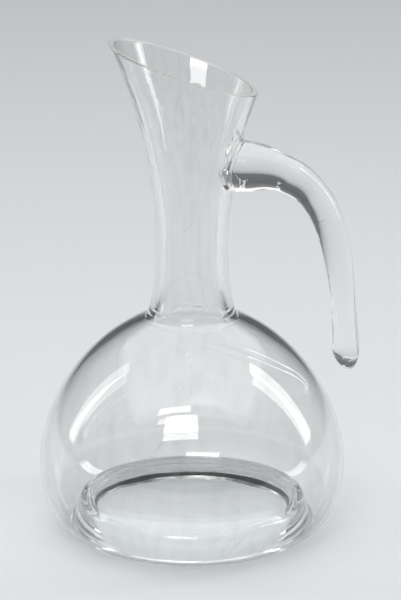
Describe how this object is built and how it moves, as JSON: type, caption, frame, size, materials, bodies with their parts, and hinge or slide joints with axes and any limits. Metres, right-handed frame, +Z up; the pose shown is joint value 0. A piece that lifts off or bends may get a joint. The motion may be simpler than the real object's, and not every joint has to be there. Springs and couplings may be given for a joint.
{
  "type": "wine decanter",
  "caption": "Clear glass wine decanter with a bell-shaped bowl, a domed base, a waisted neck flared to a slanted pouring mouth, and a solid handle that hangs free beside the neck.",
  "frame": {"origin": "on the table under the middle of the whole decanter's plan box, so the bowl's axis stands 4.4 mm towards -X of it", "axes": "+Z up along the bowl's axis; +X towards the handle and the low side of the mouth; +Y away from the camera"},
  "size_m": [0.1988, 0.19, 0.3045],
  "materials": {
    "bowl_glass": "clear blown glass, fire polished",
    "neck_seal_glass": "clear glass, fused and softly rippled",
    "neck_glass": "clear drawn glass, mouth cut flat and polished",
    "handle_glass": "clear solid glass, drawn hot",
    "handle_seal_glass": "clear glass, fused and wrinkled"
  },
  "bodies": {
    "root": {"bowl": "bowl_glass", "neck_seal": "neck_seal_glass", "neck": "neck_glass", "handle": "handle_glass", "handle_seal": "handle_seal_glass"}
  },
  "joints": []
}
